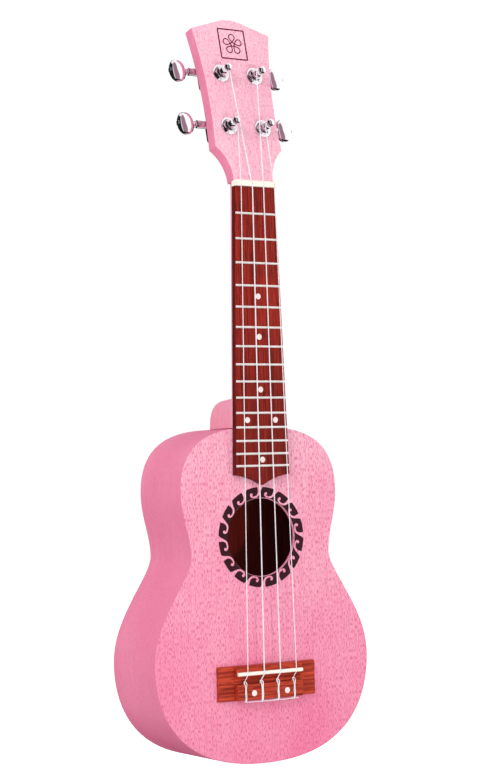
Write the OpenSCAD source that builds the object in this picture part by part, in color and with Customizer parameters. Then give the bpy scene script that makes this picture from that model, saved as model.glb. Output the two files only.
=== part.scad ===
// Soprano ukulele with geared tuners, built as separate pieces.
// Frame: +Z runs up the neck to the headstock, the soundboard faces -Y, and +X is the treble side.
// The origin is in the middle of the neck, in the soundboard's plane, at the nut's string edge.

/* [Scale] */
// Vibrating string length, nut to saddle
scale_length = 346; // [340:1:352]
// Number of frets
fret_count = 15; // [12:1:15]

/* [Body outline] */
// Distance from the nut to the body's upper end
body_top = 172.7; // [172:0.1:173.4]
// Distance from the nut to the body's tail
body_tail = 412.3; // [408:0.1:418]
// Half width of the upper bout
upper_half = 65.3; // [62:0.1:68]
// Distance from the nut to the widest line of the upper bout
upper_at = 218.3; // [216:0.1:220]
// Half width of the waist
waist_half = 57.8; // [55:0.1:60]
// Distance from the nut to the waist
waist_at = 263.6; // [260:0.1:266]
// Half width of the lower bout
lower_half = 89.3; // [84:0.1:94]
// Distance from the nut to the widest line of the lower bout
lower_at = 339.1; // [336:0.1:343]

/* [Body box] */
// Depth at the upper end, outside
depth_top = 59; // [56:0.5:62]
// Depth at the tail, outside
depth_tail = 64; // [62:0.5:68]
// Thickness of soundboard and back
plate_t = 2.2; // [2:0.1:2.6]
// Thickness of the bent sides
rib_t = 1.8; // [1.6:0.1:2.2]
// Radius of the soundhole
soundhole_r = 27.8; // [26:0.1:29]
// Distance from the nut to the soundhole's centre
soundhole_at = 251.5; // [250:0.1:253]
// Inner radius of the rosette
rosette_in = 29.0; // [28.5:0.1:30]
// Outer radius of the rosette
rosette_out = 35.9; // [34:0.1:36.5]

/* [Neck] */
// Width of neck and fingerboard at the nut
nut_w = 34; // [33:0.5:36]
// Width of the fingerboard over the body's edge
heel_w = 43.4; // [42:0.2:45]
// Thickness of the fingerboard
board_t = 4.5; // [4:0.1:5]
// Depth of the neck wood at the nut
neck_depth_nut = 13.5; // [12:0.5:15]
// Depth of the neck wood near the body
neck_depth_heel = 15; // [14:0.5:16]
// Depth of the heel behind the fingerboard
heel_depth = 41; // [36:1:44]
// Length of the heel along the neck
heel_length = 20.5; // [18:0.5:24]

/* [Headstock] */
// Backward tilt of the headstock, in degrees
head_tilt = 13.5; // [9:0.1:15]
// Height of the headstock's face over the top of the neck wood, at the nut
head_raise = 3.6; // [0:0.1:4.2]
// Thickness of the headstock
head_t = 10; // [9:0.1:10.5]
// Length of the headstock along its edge, nut to upper corner
head_side = 117; // [113:0.5:118]
// Half width across the lower shoulders
shoulder_half = 28.1; // [27:0.1:29]
// Half width across the upper corners
crown_half = 33; // [32:0.1:35]
// Half distance between the two rows of string posts
post_half = 14.3; // [14:0.1:15]
// Distance from the nut to the lower pair of posts
post_low = 41.3; // [40:0.1:42]
// Distance from the nut to the upper pair of posts
post_high = 82.6; // [80:0.1:83]

/* [Bridge] */
// Length of the bridge across the body
bridge_w = 81; // [78:0.5:84]
// Length of the raised middle of the bridge
bridge_mid_w = 55; // [54:0.5:57]
// Height of the saddle's top above the soundboard
saddle_top = 8.6; // [8:0.1:9.5]
// Space between neighbouring strings at the saddle
saddle_gap = 13.6; // [13:0.1:14]
// Space between neighbouring strings at the nut
nut_gap = 9.4; // [9:0.1:9.6]

/* [Hidden] */
STRINGS = ["g", "c", "e", "a"];
TUNER_PARTS = ["post", "gear", "gear_screw", "worm_shaft", "button", "button_screw"];
$fn = 64;

PINK = [0.95, 0.62, 0.72];
PINK_SIDE = [0.90, 0.50, 0.62];
REDWOOD = [0.50, 0.17, 0.10];
PALEWOOD = [0.85, 0.72, 0.52];
IVORY = [0.96, 0.94, 0.88];
CHROME = [0.80, 0.81, 0.83];
STEEL = [0.60, 0.60, 0.62];
BRASS = [0.80, 0.65, 0.35];

big = 400;                      // reach of the cutting blocks, larger than the body

// Body outline: four cubic curves a side, each given by the length of its two end handles
top_handles = [27.2, 43.5];
upper_handles = [17.1, 14.4];
lower_handles = [15.6, 33.7];
tail_handles = [29.6, 75.3];
curve_steps = 14;               // chords in each cubic curve
lining_w = 4.5;
lining_h = 6;
neck_block_half = 24;
neck_block_l = 17;
tail_block_half = 28;
tail_block_l = 13;
brace_w = 6;
brace_h = 9;
brace_tip_h = 2.5;
top_brace_at = [217, 290];
back_brace_at = [226, 330];
back_tilt = atan((depth_tail - depth_top) / (body_tail - body_top));

// Neck and fingerboard
nut_t = 4.6;
nut_top = 6.9;
side_wall = 0.5;                 // flat side of the neck above its rounded back
heel_fullness = 0.7;            // 1 gives the heel a round outline, less a squarer one
neck_reach = 33;                // how far the neck's back runs up behind the headstock
board_end = 207;                // where the fingerboard's sides end, over the soundboard
board_tip = 214.3;              // the fingerboard's point
fret_w = 1.6;
fret_h = 0.9;
tang_w = 0.6;
tang_d = 1.5;
dot_r = 2.1;
dot_d = 1.0;
double_dot_half = 11.8;
dot_frets = [5, 7, 10, 15];
double_dot_fret = 12;
fret_top = board_t + fret_h;
head_flare_r = 30;              // hollow curve from the nut out to the shoulder
head_side_r = 360;              // hollow curve of each long edge, from a middle at head_side_u
head_side_u = 52;
head_side_half = 27.1;
gable = 18.5;                   // slope of the top edge, in degrees
gable_r = 30;
flare_from = 1.8;               // height over the nut at which the hollow curve starts to open
string_rise = 0.5;              // strings above the fret tops, at the nut
dowel_r = 4;
dowel_half = 13;
dowel_at = [10, 27];

// Bridge, measured along the strings from the nut
bridge_from = 341.6;
bridge_to = 366;
wing_t = 2.8;
rail_top = 6.6;
saddle_at = scale_length + 1.2;
saddle_t = 2.6;
saddle_w = 54.2;
saddle_seat = 3.0;
channel_top = 3.6;
channel_to = 354.9;
tie_top = 7.2;
tie_hole_r = 0.8;
tie_hole_n = 4.6;
bridge_dot_half = 13.8;
bridge_dot_at = 361.1;
bridge_screw_r = 1.4;
plate_wood_t = 1.6;

// Strings: diameters of g, c, e, a
string_d = [0.6, 0.86, 0.76, 0.6];
string_gap = 0.03;              // air between a string and what it lies on
string_shift_nut = 1.3;         // the strings sit a little to the treble side
string_shift_saddle = 0.5;
wrap_at = 8.1;                  // height over the headstock of the wrap that leaves the post
wrap_gap = 0.1;                 // air round the post, so that it turns inside the wrap
winding_turns = 3;

// Tuners, in a frame on each post: a outward to the button, d into the headstock, u up it
gear_module = 0.55;
gear_teeth = 14;
gear_w = 2.0;
gear_tooth_top = 0.30;          // half widths of a gear tooth, tip and root
gear_tooth_root = 0.42;
worm_pitch_r = 2.15;
worm_core_r = 1.5;
worm_out_r = worm_pitch_r + 0.45;
worm_reach = 3.9;
worm_tip = 0.20;                // half widths of the worm's thread, tip and root
worm_root = 0.42;
shaft_r = 1.5;
shaft_fit = 0.05;
gear_r = gear_module * gear_teeth / 2;
worm_u = gear_r + worm_pitch_r;
worm_d = head_t + 4.0;
collar_end = 18.4;
collar_r = 2.9;
post_r = 3.0;
post_fit = 0.05;
post_waist_r = 2.2;
post_tip = 13.8;
housing_back = head_t + 7.6;
cover_t = 0.9;
bushing_r = 4.0;
hex_r = 5.5;
washer_r = 6.6;
washer_t = 0.7;
button_w = 13.6;
button_h = 17.5;
button_t = 6.8;
button_from = 18.9;
button_end = 34.2;
ear_u = -9.4;                   // the housing's screw ear
stub_half = 1.5;                // half side of the square that carries the gear
worm_phase = -90;               // turns the worm so that its thread enters a gap of the gear
housing_a = [-7.4, 8.6];
housing_u = [-6.6, 10.4];
housing_corner_r = 2.5;

// ---------- helpers ----------

function cubic(p, t) =
    pow(1 - t, 3) * p[0] + 3 * pow(1 - t, 2) * t * p[1] + 3 * (1 - t) * t * t * p[2] + pow(t, 3) * p[3];
function cubic_dir(p, t) =
    pow(1 - t, 2) * (p[1] - p[0]) + 2 * (1 - t) * t * (p[2] - p[1]) + t * t * (p[3] - p[2]);
function unit(v) = v / norm(v);
// Points are [x, s], with s the distance from the nut; the walk runs from neck to tail on the +x side
function inward(dir) = [-dir[1], dir[0]] / norm(dir);
function arc(centre, r, from, to, steps) =
    [for (i = [0 : steps]) let (a = from + (to - from) * i / steps) centre + r * [cos(a), sin(a)]];
function flip(points) = [for (p = points) [-p[0], p[1]]];
function reversed(points) = [for (i = [len(points) - 1 : -1 : 0]) points[i]];
function both_sides(half) = concat(half, reversed(flip([for (p = half) if (p[0] > 0.001) p])));

outline_curves = [
    [[0, body_top], [top_handles[0], body_top],
     [upper_half, upper_at - top_handles[1]], [upper_half, upper_at]],
    [[upper_half, upper_at], [upper_half, upper_at + upper_handles[0]],
     [waist_half, waist_at - upper_handles[1]], [waist_half, waist_at]],
    [[waist_half, waist_at], [waist_half, waist_at + lower_handles[0]],
     [lower_half, lower_at - lower_handles[1]], [lower_half, lower_at]],
    [[lower_half, lower_at], [lower_half, lower_at + tail_handles[0]],
     [tail_handles[1], body_tail], [0, body_tail]]];

function half_outline(inset) =
    [for (k = [0 : 3], i = [(k == 0 ? 0 : 1) : curve_steps])
        let (t = i / curve_steps, c = outline_curves[k])
        cubic(c, t) + inset * inward(cubic_dir(c, t))];
function body_outline(inset) =
    let (half = half_outline(inset), last = len(half) - 1)
    concat(half, [for (i = [last - 1 : -1 : 1]) [-half[i][0], half[i][1]]]);

// Extrudes a shape drawn as [x, s] from depth y0 to depth y1
module slab(y0, y1) {
    translate([0, y0, 0]) rotate([-90, 0, 0]) linear_extrude(y1 - y0) children();
}
module body_prism(inset, y0, y1) {
    slab(y0, y1) polygon(body_outline(inset));
}
// Extrudes a shape drawn as [y, s] across the width, centred
module across(width) {
    translate([-width / 2, 0, 0]) rotate([90, 0, 90]) linear_extrude(width) mirror([0, 1]) children();
}
// Everything in front of the back's outer face, less an inset
module before_back(inset) {
    translate([0, depth_top, -body_top]) rotate([back_tilt, 0, 0])
        translate([-big / 2, -big - inset, -big]) cube([big, big, 2 * big]);
}
// Block from x0 to x1, y0 to y1 and, along the strings, s0 to s1
module block(x, y, s) {
    translate([x[0], y[0], -s[1]]) cube([x[1] - x[0], y[1] - y[0], s[1] - s[0]]);
}
module pin_y(x, s, r, y0, y1) {
    translate([x, y0, -s]) rotate([-90, 0, 0]) cylinder(h = y1 - y0, r = r);
}
function fret_at(n) = scale_length * (1 - pow(2, -n / 12));
function board_half(s) = (nut_w + (heel_w - nut_w) * s / body_top) / 2;

// Round tube along a path, as rings that turn with the path as little as they can
function path_dir(p, i) = unit(p[min(i + 1, len(p) - 1)] - p[max(i - 1, 0)]);
function square_to(v, d) = unit(v - (v * d) * d);
module tube(path, r, start, sides = 8) {
    normals = [for (i = 0, v = square_to(start, path_dir(path, 0)); i < len(path);
        i = i + 1, v = i < len(path) ? square_to(v, path_dir(path, i)) : v) v];
    points = [for (i = [0 : len(path) - 1], k = [0 : sides - 1])
        path[i] + r * (cos(360 * k / sides) * normals[i]
            + sin(360 * k / sides) * cross(path_dir(path, i), normals[i]))];
    walls = [for (i = [0 : len(path) - 2], k = [0 : sides - 1])
        let (a = i * sides + k, b = i * sides + (k + 1) % sides) [a, a + sides, b + sides, b]];
    last = (len(path) - 1) * sides;
    polyhedron(points, concat(walls, [[for (k = [0 : sides - 1]) k]],
        [[for (k = [sides - 1 : -1 : 0]) last + k]]));
}

// ---------- body ----------

module soundboard() {
    color(PINK) difference() {
        body_prism(0, 0, plate_t);
        pin_y(0, soundhole_at, soundhole_r, -1, plate_t + 1);
        rosette_ring(0.5);
        for (side = [-1, 1]) pin_y(side * bridge_dot_half, bridge_dot_at, bridge_screw_r, -1, plate_t + 1);
    }
}
module rosette_ring(depth) {
    difference() {
        pin_y(0, soundhole_at, rosette_out, 0, depth);
        pin_y(0, soundhole_at, rosette_in, -1, depth + 1);
    }
}
module rosette() {
    color([0.30, 0.08, 0.10]) rosette_ring(0.5);
}
module back() {
    color(PINK_SIDE) intersection() {
        body_prism(0, 40, 80);
        difference() {
            before_back(0);
            before_back(plate_t);
        }
    }
}
module rib(side) {
    color(PINK_SIDE) difference() {
        intersection() {
            difference() {
                body_prism(0, plate_t, 80);
                body_prism(rib_t, 0, 90);
            }
            before_back(plate_t);
            block(side > 0 ? [0, big] : [-big, 0], [0, 90], [0, 2 * big]);
        }
        dowel_pins();
    }
}
module bass_side() rib(-1);
module treble_side() rib(1);
module lining_ring() {
    difference() {
        body_prism(rib_t, 0, 90);
        body_prism(rib_t + lining_w, -1, 91);
        block([-neck_block_half, neck_block_half], [-1, 91], [0, 220]);
        block([-tail_block_half, tail_block_half], [-1, 91], [380, big * 2]);
    }
}
module top_lining() {
    color(PALEWOOD) intersection() {
        lining_ring();
        block([-big, big], [plate_t, plate_t + lining_h], [0, 2 * big]);
    }
}
module back_lining() {
    color(PALEWOOD) difference() {
        intersection() {
            lining_ring();
            before_back(plate_t);
        }
        before_back(plate_t + lining_h);
    }
}
module inner_block(half, s) {
    intersection() {
        body_prism(rib_t, plate_t, 90);
        before_back(plate_t);
        block([-half, half], [0, 90], s);
    }
}
module neck_block() {
    color(PALEWOOD) difference() {
        inner_block(neck_block_half, [0, body_top + rib_t + neck_block_l]);
        dowel_pins();
    }
}
module tail_block() {
    color(PALEWOOD) inner_block(tail_block_half, [body_tail - rib_t - tail_block_l, 2 * big]);
}
// A brace's outline across the body: full height in the middle, scooped down to thin tips
module brace_shape(half) {
    tips = arc([half, brace_h + 12], 12 + brace_h - brace_tip_h, 270, 225, 6);
    polygon(concat([[0, 0], [half, 0]], tips, [[0, brace_h]]));
}
module brace(half) {
    for (side = [0, 1]) mirror([side, 0, 0])
        translate([0, 0, -brace_w / 2]) linear_extrude(brace_w) brace_shape(half);
}
module top_braces() {
    color(PALEWOOD) for (s = top_brace_at)
        intersection() {
            translate([0, plate_t, -s]) brace(s < waist_at ? upper_half - 7 : waist_half + 5);
            body_prism(rib_t + lining_w + 0.4, 0, 90);
        }
}
module back_braces() {
    color(PALEWOOD) for (s = back_brace_at)
        intersection() {
            translate([0, depth_top, -body_top]) rotate([back_tilt, 0, 0])
                translate([0, -plate_t, body_top - s]) mirror([0, 1, 0])
                    brace(s < waist_at ? upper_half - 7 : lower_half - 8);
            body_prism(rib_t + lining_w + 0.4, 0, 90);
        }
}
module bridge_plate() {
    color(PALEWOOD) difference() {
        block([-38, 38], [plate_t, plate_t + plate_wood_t], [336, 372]);
        for (side = [-1, 1]) pin_y(side * bridge_dot_half, bridge_dot_at, bridge_screw_r, 0, 9);
    }
}

// ---------- neck ----------

module dowel_pins() {
    for (y = dowel_at) translate([0, y, -body_top - dowel_half]) cylinder(h = 2 * dowel_half, r = dowel_r);
}
module neck_dowels() {
    color(PALEWOOD) dowel_pins();
}
// Radius and centre of the arc that rounds the neck's back, for a half width and a depth
function back_arc_r(half, depth) = (half * half + pow(depth - side_wall, 2)) / (2 * (depth - side_wall));
module neck_cone() {
    r_nut = back_arc_r(nut_w / 2, neck_depth_nut);
    r_heel = back_arc_r(heel_w / 2, neck_depth_heel);
    y_nut = neck_depth_nut - r_nut;
    y_heel = neck_depth_heel - r_heel;
    tilt = atan((y_nut - y_heel) / body_top);
    grow = (r_heel - r_nut) / body_top;
    over = 4;
    translate([0, y_heel, -body_top]) rotate([-tilt, 0, 0]) translate([0, 0, -over])
        cylinder(h = body_top + over + neck_reach, r1 = r_heel + over * grow,
            r2 = r_nut - neck_reach * grow, $fn = 96);
}
module neck_plan(to) {
    polygon([[-board_half(-neck_reach), -neck_reach], [board_half(-neck_reach), -neck_reach],
        [board_half(to), to], [-board_half(to), to]]);
}
module heel() {
    cap_r = 4.3;
    half = heel_w / 2;
    cap_half = half - 3.6;
    section = both_sides(concat([[half, 0]], [[half - 0.4, 10]],
        arc([cap_half - cap_r, heel_depth - cap_r], cap_r, 10, 90, 8)));
    front = 12;
    profile = concat([[0, body_top + 4], [0, body_top - heel_length]],
        [for (i = [0 : 16]) let (a = 90 - i * 90 / 16)
            [front + (heel_depth - front) * pow(cos(a), heel_fullness),
             body_top - heel_length * pow(sin(a), heel_fullness)]],
        [[heel_depth, body_top + 4]]);
    intersection() {
        translate([0, 0, -body_top - 4]) linear_extrude(heel_length + 6) polygon(section);
        across(2 * heel_w) polygon(profile);
    }
}
// The headstock's own frame: x across, y into the wood from its face, z up along it
module on_headstock() {
    translate([0, -head_raise, nut_t]) rotate([-head_tilt, 0, 0]) children();
}
module behind_headstock_back() {
    on_headstock() translate([-big / 2, head_t, -big]) cube([big, big, 2 * big]);
}
module neck() {
    color(PINK_SIDE) difference() {
        union() {
            intersection() {
                neck_cone();
                slab(0, 30) neck_plan(body_top + 4);
                behind_headstock_back();
            }
            heel();
        }
        body_prism(0, -1, 80);
        dowel_pins();
    }
}
module head_outline() {
    half = nut_w / 2;
    flare_c = [half + head_flare_r, flare_from];
    flare = arc(flare_c, head_flare_r, 180, acos((shoulder_half - flare_c[0]) / head_flare_r), 10);
    side_c = [head_side_half + head_side_r, head_side_u];
    side_top = asin((head_side - head_side_u) / head_side_r);
    side_low = asin((head_side_u - flare[len(flare) - 1][1]) / head_side_r);
    sides = arc(side_c, head_side_r, 180 + side_low, 180 - side_top, 14);
    peak_tangent = head_side + (crown_half - gable_r * sin(gable)) * tan(gable);
    peak_c = [0, peak_tangent - gable_r * cos(gable)];
    polygon(both_sides(concat([[half, 0]], flare, sides, arc(peak_c, gable_r, 90 - gable, 90, 4))));
}
module headstock() {
    color(PINK) difference() {
        union() {
            on_headstock() translate([0, head_t, 0]) rotate([90, 0, 0])
                linear_extrude(head_t) head_outline();
            difference() {
                intersection() {
                    neck_cone();
                    slab(0, 30) neck_plan(60);
                }
                behind_headstock_back();
                on_headstock() translate([-big / 2, -big, 0]) cube([big, big, big]);
                on_headstock() translate([-big / 2, -0.01, 1]) cube([big, big, big]);
            }
        }
        for (t = STRINGS) at_tuner(t) {
            pin_d(0, 0, bushing_r, -1, head_t + 1);
            pin_d(0, ear_u, 0.9, head_t - 6, head_t + 1);
        }
        block([-nut_w, nut_w], [-head_raise - 5, 0], [-nut_t, big]);
    }
}
module board_plan() {
    hollow = [for (i = [1 : 10]) let (t = i / 10)
        [board_half(board_end) * (1 - t), board_end + (board_tip - board_end) * pow(t, 1.8)]];
    polygon(both_sides(concat([[board_half(0), 0], [board_half(board_end), board_end]], hollow)));
}
module fingerboard() {
    color(REDWOOD) difference() {
        slab(-board_t, 0) board_plan();
        for (n = [1 : fret_count]) fret_tang(n);
        dots();
    }
}
module fret_tang(n) {
    half = board_half(fret_at(n)) - 0.6;
    block([-half, half], [-board_t, -board_t + tang_d], [fret_at(n) - tang_w / 2, fret_at(n) + tang_w / 2]);
}
module frets() {
    crown_r = (fret_w * fret_w / 4 + fret_h * fret_h) / (2 * fret_h);
    color(STEEL) for (n = [1 : fret_count]) {
        half = board_half(fret_at(n)) - 0.4;
        fret_tang(n);
        intersection() {
            translate([-half, -fret_top + crown_r, -fret_at(n)]) rotate([0, 90, 0])
                cylinder(h = 2 * half, r = crown_r);
            block([-half, half], [-fret_top - 1, -board_t], [fret_at(n) - 2, fret_at(n) + 2]);
        }
    }
}
function between_frets(n) = (fret_at(n - 1) + fret_at(n)) / 2;
module dots() {
    for (n = dot_frets) pin_y(0, between_frets(n), dot_r, -board_t, -board_t + dot_d);
    for (side = [-1, 1])
        pin_y(side * double_dot_half, between_frets(double_dot_fret), dot_r, -board_t, -board_t + dot_d);
}
module position_dots() {
    color(IVORY) dots();
}
module nut() {
    color(IVORY) difference() {
        translate([-nut_w / 2, 0, 0]) rotate([90, 0, 90]) linear_extrude(nut_w)
            polygon([[0, 0], [0, nut_t], [-nut_top + 1.6, nut_t], [-nut_top + 0.4, nut_t - 1],
                [-nut_top, nut_t / 2], [-nut_top + 0.1, 0.4], [-nut_top + 0.5, 0]]);
        for (i = [0 : 3]) {
            slot_w = string_d[i] + 2 * string_gap;
            translate([nut_x(i), -fret_top - string_rise, 0]) rotate([-break_angle(i), splay_angle(i), 0])
                translate([-slot_w / 2, -5, -2]) cube([slot_w, 5, nut_t + 5]);
        }
    }
}

// ---------- bridge ----------

module bridge_profile() {
    polygon([[0, bridge_from], [-rail_top + 1.2, bridge_from], [-rail_top, bridge_from + 1.4],
        [-rail_top, saddle_at + saddle_t / 2 + 0.9], [-channel_top - 0.4, saddle_at + saddle_t / 2 + 2.4],
        [-channel_top, channel_to - 0.4], [-tie_top + 0.3, channel_to], [-tie_top, channel_to + 0.6],
        [-tie_top, bridge_to - 1.2], [-tie_top + 1.2, bridge_to], [0, bridge_to]]);
}
module wing_profile() {
    polygon([[0, bridge_from], [-wing_t + 0.5, bridge_from], [-wing_t, bridge_from + 0.8],
        [-wing_t, bridge_to - 0.8], [-wing_t + 0.5, bridge_to], [0, bridge_to]]);
}
module bridge() {
    color(REDWOOD) difference() {
        union() {
            across(bridge_mid_w) bridge_profile();
            across(bridge_w) wing_profile();
        }
        block([-saddle_w / 2, saddle_w / 2], [-20, -saddle_seat],
            [saddle_at - saddle_t / 2, saddle_at + saddle_t / 2]);
        for (i = [0 : 3])
            translate([tie_x(i), -tie_hole_n, -bridge_to - 1])
                cylinder(h = bridge_to - channel_to + 3, r = tie_hole_r);
        for (side = [-1, 1]) {
            pin_y(side * bridge_dot_half, bridge_dot_at, dot_r, -tie_top - 1, -tie_top + 1 + 2.2);
            pin_y(side * bridge_dot_half, bridge_dot_at, bridge_screw_r, -tie_top, 1);
        }
    }
}
module saddle() {
    r = saddle_t / 2;
    color(IVORY) union() {
        block([-saddle_w / 2, saddle_w / 2], [-saddle_top + r, -saddle_seat],
            [saddle_at - r, saddle_at + r]);
        translate([-saddle_w / 2, -saddle_top + r, -saddle_at]) rotate([0, 90, 0])
            cylinder(h = saddle_w, r = r);
    }
}
module bridge_dots() {
    color(IVORY) for (side = [-1, 1])
        pin_y(side * bridge_dot_half, bridge_dot_at, dot_r, -tie_top, -tie_top + 1);
}
module bridge_screws() {
    nut_y = plate_t + plate_wood_t;
    color(BRASS) for (side = [-1, 1]) {
        pin_y(side * bridge_dot_half, bridge_dot_at, dot_r, -tie_top + 1, -tie_top + 3.2);
        pin_y(side * bridge_dot_half, bridge_dot_at, bridge_screw_r, -tie_top + 3, nut_y + 3.4);
        difference() {
            translate([side * bridge_dot_half, nut_y, -bridge_dot_at]) rotate([-90, 0, 0])
                cylinder(h = 2.2, r = 3.0, $fn = 6);
            pin_y(side * bridge_dot_half, bridge_dot_at, bridge_screw_r, 0, 20);
        }
    }
}

// ---------- strings ----------

function string_i(s) = search([s], STRINGS)[0];
function offset_of(i, gap, shift) = (i - 1.5) * gap + shift;
function nut_x(i) = offset_of(i, nut_gap, string_shift_nut);
function saddle_x(i) = offset_of(i, saddle_gap, string_shift_saddle);
function tie_x(i) = saddle_x(i) - 1;
function side_of(i) = i < 2 ? -1 : 1;
function post_u(i) = (i == 0 || i == 3) ? post_low : post_high;
// A point of the headstock's own frame, in the frame of the whole
function from_head(x, d, u) =
    [x, u * sin(head_tilt) + d * cos(head_tilt) - head_raise, nut_t + u * cos(head_tilt) - d * sin(head_tilt)];
function wrap_r(i) = post_waist_r + string_d[i] / 2 + wrap_gap;
function wrap_point(i, angle) =
    from_head(side_of(i) * (post_half - wrap_r(i) * cos(angle)), -wrap_at,
        post_u(i) + wrap_r(i) * sin(angle));
function over_nut(i) = [nut_x(i), -fret_top - string_rise - string_d[i] / 2 - string_gap, 0];
function break_angle(i) =
    let (a = over_nut(i), b = wrap_point(i, 0)) atan((b[1] - a[1]) / (b[2] - a[2]));
function splay_angle(i) =
    let (a = over_nut(i), b = wrap_point(i, 0)) atan((b[0] - a[0]) / (b[2] - a[2]));
// Route of a string past its saddle: [x shift, height over the soundboard, distance from the nut].
// It dives through the tie block, comes up behind it and lies back over its top.
tie_dive = [[0.6, 7.6, 349.6], [0, 5.4, 353.2], [0, 4.6, 355.4], [0, 4.6, 360], [0, 4.6, 366.4],
    [0, 5.1, 367.3], [0, 6.4, 367.6], [0.1, 7.4, 367]];
tie_return = [[0.2, 365.6], [0.3, 362], [0.4, 358], [0.5, 355.2]];
function string_path(i) =
    let (a = over_nut(i),
         b = [saddle_x(i), -saddle_top - string_d[i] / 2 - string_gap, -saddle_at])
    concat(
        [for (w = [240 : -20 : 0]) wrap_point(i, w)],
        [for (t = [0.35, 0.7]) wrap_point(i, 0) * (1 - t) + a * t],
        [a],
        [for (t = [0.25, 0.5, 0.75]) a * (1 - t) + b * t],
        [b + [0, 0, 0.8], b + [0, 0.06, -0.8]],
        [for (p = tie_dive) [tie_x(i) + p[0], -p[1], -p[2]]],
        [for (p = tie_return) [tie_x(i) + p[0], -tie_top - string_d[i] / 2 - string_gap, -p[1]]]);
module string(s) {
    i = string_i(s);
    color("white") tube(string_path(i), string_d[i] / 2, [0, 1, 0]);
}
module string_winding(s) {
    i = string_i(s);
    d = string_d[i];
    color("white") at_tuner(s) rotate([90, 0, 0]) rotate_extrude()
        for (k = [0 : winding_turns - 1])
            translate([post_waist_r + d / 2 + string_gap, wrap_at + d * (1.05 + 0.9 * k)])
                circle(d = d, $fn = 24);
}

// ---------- tuners ----------

// Places a tuner drawn with x outward from the post, y into the headstock and z up it
module at_tuner(s) {
    i = string_i(s);
    on_headstock() translate([side_of(i) * post_half, 0, post_u(i)])
        mirror([side_of(i) < 0 ? 1 : 0, 0, 0]) children();
}
// Pin into the headstock, from depth d0 to d1, at a outward and u up
module pin_d(a, u, r, d0, d1, sides = 64) {
    translate([a, d0, u]) rotate([-90, 0, 0]) cylinder(h = d1 - d0, r = r, $fn = sides);
}
// Pin along the worm shaft, from a0 to a1
module pin_a(r, a0, a1) {
    translate([a0, worm_d, worm_u]) rotate([0, 90, 0]) cylinder(h = a1 - a0, r = r);
}
module tuner_post(s) {
    gear_from = worm_d - gear_w / 2;
    gear_to = worm_d + gear_w / 2;
    color(CHROME) at_tuner(s) difference() {
        union() {
            rotate([-90, 0, 0]) rotate_extrude() polygon(concat(
                [[0, -post_tip]], arc([1.4, -post_tip + 1.5], 1.5, 270, 360, 6),
                [[2.9, -wrap_at - 3.4], [post_waist_r, -wrap_at - 2.9], [post_waist_r, -wrap_at + 0.7],
                 [post_r, -wrap_at + 1.3], [post_r, gear_from], [0, gear_from]]));
            translate([-stub_half, gear_from - 1, -stub_half])
                cube([2 * stub_half, gear_w + 1, 2 * stub_half]);
        }
        pin_d(0, 0, 0.8, gear_to - 4, gear_to + 1, 32);
        translate([-5, -wrap_at - 2.4, 0]) rotate([0, 90, 0]) cylinder(h = 10, r = 0.5, $fn = 24);
    }
}
module gear_tooth() {
    root = gear_r - gear_module * 1.15;
    tip = gear_r + gear_module * 0.85;
    middle = (gear_tooth_root + gear_tooth_top) / 2;
    polygon([[root - 0.4, -gear_tooth_root], [root, -gear_tooth_root], [gear_r, -middle],
        [tip, -gear_tooth_top + 0.06], [tip, gear_tooth_top - 0.06], [gear_r, middle],
        [root, gear_tooth_root], [root - 0.4, gear_tooth_root]]);
}
module tuner_gear(s) {
    color(BRASS) at_tuner(s) translate([0, worm_d - gear_w / 2, 0]) rotate([-90, 0, 0]) difference() {
        linear_extrude(gear_w) difference() {
            union() {
                circle(r = gear_r - gear_module * 1.15);
                for (k = [0 : gear_teeth - 1]) rotate(90 + (k + 0.5) * 360 / gear_teeth) gear_tooth();
            }
            square(2 * stub_half, center = true);
        }
    }
}
module tuner_gear_screw(s) {
    from = worm_d + gear_w / 2;
    color(STEEL) at_tuner(s) difference() {
        union() {
            pin_d(0, 0, 2.3, from, from + 0.9);
            pin_d(0, 0, 0.8, from - 3.6, from + 0.5, 32);
        }
        translate([-3, from + 0.5, -0.3]) cube([6, 1, 0.6]);
    }
}
// Helical ridge round the worm's core, along x, from -reach to reach
module worm_thread(reach) {
    per_turn = 12;
    pitch = PI * gear_module;
    turns = floor(2 * reach / pitch) - 0.5;
    rings = round(turns * per_turn);
    section = [[worm_core_r - 0.3, -worm_root - 0.05], [worm_out_r, -worm_tip],
        [worm_out_r, worm_tip], [worm_core_r - 0.3, worm_root + 0.05]];
    points = [for (k = [0 : rings], p = section)
        let (a = 360 * (k - rings / 2) / per_turn) [pitch * a / 360 + p[1], p[0] * cos(a), p[0] * sin(a)]];
    walls = [for (k = [0 : rings - 1], j = [0 : 3])
        let (a = k * 4 + j, b = k * 4 + (j + 1) % 4) [a, b, b + 4, a + 4]];
    polyhedron(points, concat(walls, [[3, 2, 1, 0]], [[for (j = [0 : 3]) rings * 4 + j]]));
}
module tuner_worm_shaft(s) {
    color(STEEL) at_tuner(s) difference() {
        union() {
            pin_a(shaft_r, -6.4, 26);
            translate([0, worm_d, worm_u]) rotate([worm_phase, 0, 0]) worm_thread(worm_reach);
        }
        translate([20, worm_d, worm_u]) rotate([0, 90, 0]) cylinder(h = 8, r = 0.7, $fn = 24);
    }
}
module tuner_button(s) {
    mid = button_end - button_w / 2;
    color(CHROME) at_tuner(s) difference() {
        union() {
            translate([mid, worm_d, worm_u]) scale([button_w, button_t, button_h] / 2) sphere(1, $fn = 28);
            translate([button_from, worm_d, worm_u]) rotate([0, 90, 0]) cylinder(h = 5, r1 = 2.5, r2 = 2.1);
        }
        pin_a(shaft_r, button_from - 1, 26);
        translate([24, worm_d, worm_u]) rotate([0, 90, 0]) cylinder(h = 14, r = 0.8, $fn = 24);
        pin_a(2.0, button_end - 1.4, 40);
    }
}
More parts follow.
